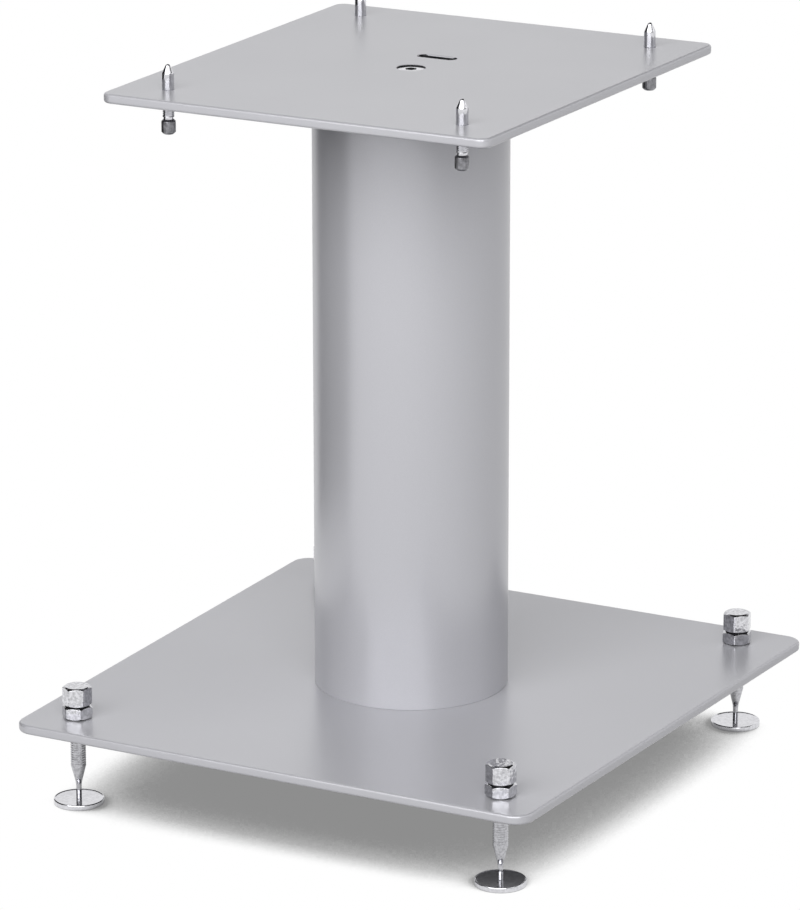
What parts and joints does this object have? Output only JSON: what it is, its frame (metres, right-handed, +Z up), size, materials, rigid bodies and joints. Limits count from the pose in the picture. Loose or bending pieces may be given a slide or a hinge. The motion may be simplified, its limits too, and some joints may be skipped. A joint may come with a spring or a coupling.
{
  "type": "speaker stand",
  "caption": "Low speaker stand: a round steel column between two flat plates, on height-adjustable spiked feet with floor discs, with adjustable spikes for the speaker on top.",
  "frame": {"origin": "on the floor, under the middle of the base plate and the column's axis", "axes": "+Z up along the column, -Y towards the front edge of both plates, +X to the right"},
  "size_m": [0.3064, 0.313, 0.3822],
  "materials": {
    "powder_coat": "satin silver powder coat",
    "chrome": "bright chrome plate",
    "zinc_steel": "zinc-plated steel",
    "knob_steel": "turned steel with fine flutes"
  },
  "bodies": {
    "frame": {"base_plate": "powder_coat", "column_tube": "powder_coat", "column_flange": "zinc_steel", "column_bridge": "zinc_steel", "top_plate": "powder_coat", "base_screws": "zinc_steel", "top_screw": "chrome", "locating_pins": "zinc_steel"},
    "disc_front_left": {"floor_disc_front_left": "chrome"},
    "foot_front_left": {"foot_spike_front_left": "chrome", "cap_nut_front_left": "chrome"},
    "lock_front_left": {"lock_nut_front_left": "chrome"},
    "spike_front_left": {"top_spike_front_left": "chrome", "knob_front_left": "knob_steel"},
    "disc_front_right": {"floor_disc_front_right": "chrome"},
    "foot_front_right": {"foot_spike_front_right": "chrome", "cap_nut_front_right": "chrome"},
    "lock_front_right": {"lock_nut_front_right": "chrome"},
    "spike_front_right": {"top_spike_front_right": "chrome", "knob_front_right": "knob_steel"},
    "disc_rear_left": {"floor_disc_rear_left": "chrome"},
    "foot_rear_left": {"foot_spike_rear_left": "chrome", "cap_nut_rear_left": "chrome"},
    "lock_rear_left": {"lock_nut_rear_left": "chrome"},
    "spike_rear_left": {"top_spike_rear_left": "chrome", "knob_rear_left": "knob_steel"},
    "disc_rear_right": {"floor_disc_rear_right": "chrome"},
    "foot_rear_right": {"foot_spike_rear_right": "chrome", "cap_nut_rear_right": "chrome"},
    "lock_rear_right": {"lock_nut_rear_right": "chrome"},
    "spike_rear_right": {"top_spike_rear_right": "chrome", "knob_rear_right": "knob_steel"}
  },
  "joints": [
    {"name": "foot_height_front_left", "type": "slide", "parent": "frame", "child": "disc_front_left", "axis": [0, 0, 1], "range_m": [0, 0.015]},
    {"name": "foot_turn_front_left", "type": "hinge", "parent": "disc_front_left", "child": "foot_front_left", "pos_m": [-0.1209, -0.1331, 0.03], "axis": [0, 0, 1], "continuous": true},
    {"name": "lock_turn_front_left", "type": "hinge", "parent": "frame", "child": "lock_front_left", "pos_m": [-0.1209, -0.1331, 0.05], "axis": [0, 0, 1], "continuous": true},
    {"name": "spike_height_front_left", "type": "slide", "parent": "frame", "child": "spike_front_left", "axis": [0, 0, 1], "range_m": [-0.012, 0.009]},
    {"name": "foot_height_front_right", "type": "slide", "parent": "frame", "child": "disc_front_right", "axis": [0, 0, 1], "range_m": [0, 0.015]},
    {"name": "foot_turn_front_right", "type": "hinge", "parent": "disc_front_right", "child": "foot_front_right", "pos_m": [0.1209, -0.1331, 0.03], "axis": [0, 0, 1], "continuous": true},
    {"name": "lock_turn_front_right", "type": "hinge", "parent": "frame", "child": "lock_front_right", "pos_m": [0.1209, -0.1331, 0.05], "axis": [0, 0, 1], "continuous": true},
    {"name": "spike_height_front_right", "type": "slide", "parent": "frame", "child": "spike_front_right", "axis": [0, 0, 1], "range_m": [-0.012, 0.009]},
    {"name": "foot_height_rear_left", "type": "slide", "parent": "frame", "child": "disc_rear_left", "axis": [0, 0, 1], "range_m": [0, 0.015]},
    {"name": "foot_turn_rear_left", "type": "hinge", "parent": "disc_rear_left", "child": "foot_rear_left", "pos_m": [-0.124, 0.1331, 0.03], "axis": [0, 0, 1], "continuous": true},
    {"name": "lock_turn_rear_left", "type": "hinge", "parent": "frame", "child": "lock_rear_left", "pos_m": [-0.124, 0.1331, 0.05], "axis": [0, 0, 1], "continuous": true},
    {"name": "spike_height_rear_left", "type": "slide", "parent": "frame", "child": "spike_rear_left", "axis": [0, 0, 1], "range_m": [-0.012, 0.009]},
    {"name": "foot_height_rear_right", "type": "slide", "parent": "frame", "child": "disc_rear_right", "axis": [0, 0, 1], "range_m": [0, 0.015]},
    {"name": "foot_turn_rear_right", "type": "hinge", "parent": "disc_rear_right", "child": "foot_rear_right", "pos_m": [0.124, 0.1331, 0.03], "axis": [0, 0, 1], "continuous": true},
    {"name": "lock_turn_rear_right", "type": "hinge", "parent": "frame", "child": "lock_rear_right", "pos_m": [0.124, 0.1331, 0.05], "axis": [0, 0, 1], "continuous": true},
    {"name": "spike_height_rear_right", "type": "slide", "parent": "frame", "child": "spike_rear_right", "axis": [0, 0, 1], "range_m": [-0.012, 0.009]}
  ],
  "couplings": [
    {"joint": "foot_turn_front_left", "follows": "foot_height_front_left", "rad_per_m": 5026.5},
    {"joint": "foot_turn_front_right", "follows": "foot_height_front_right", "rad_per_m": 5026.5},
    {"joint": "foot_turn_rear_left", "follows": "foot_height_rear_left", "rad_per_m": 5026.5},
    {"joint": "foot_turn_rear_right", "follows": "foot_height_rear_right", "rad_per_m": 5026.5}
  ]
}
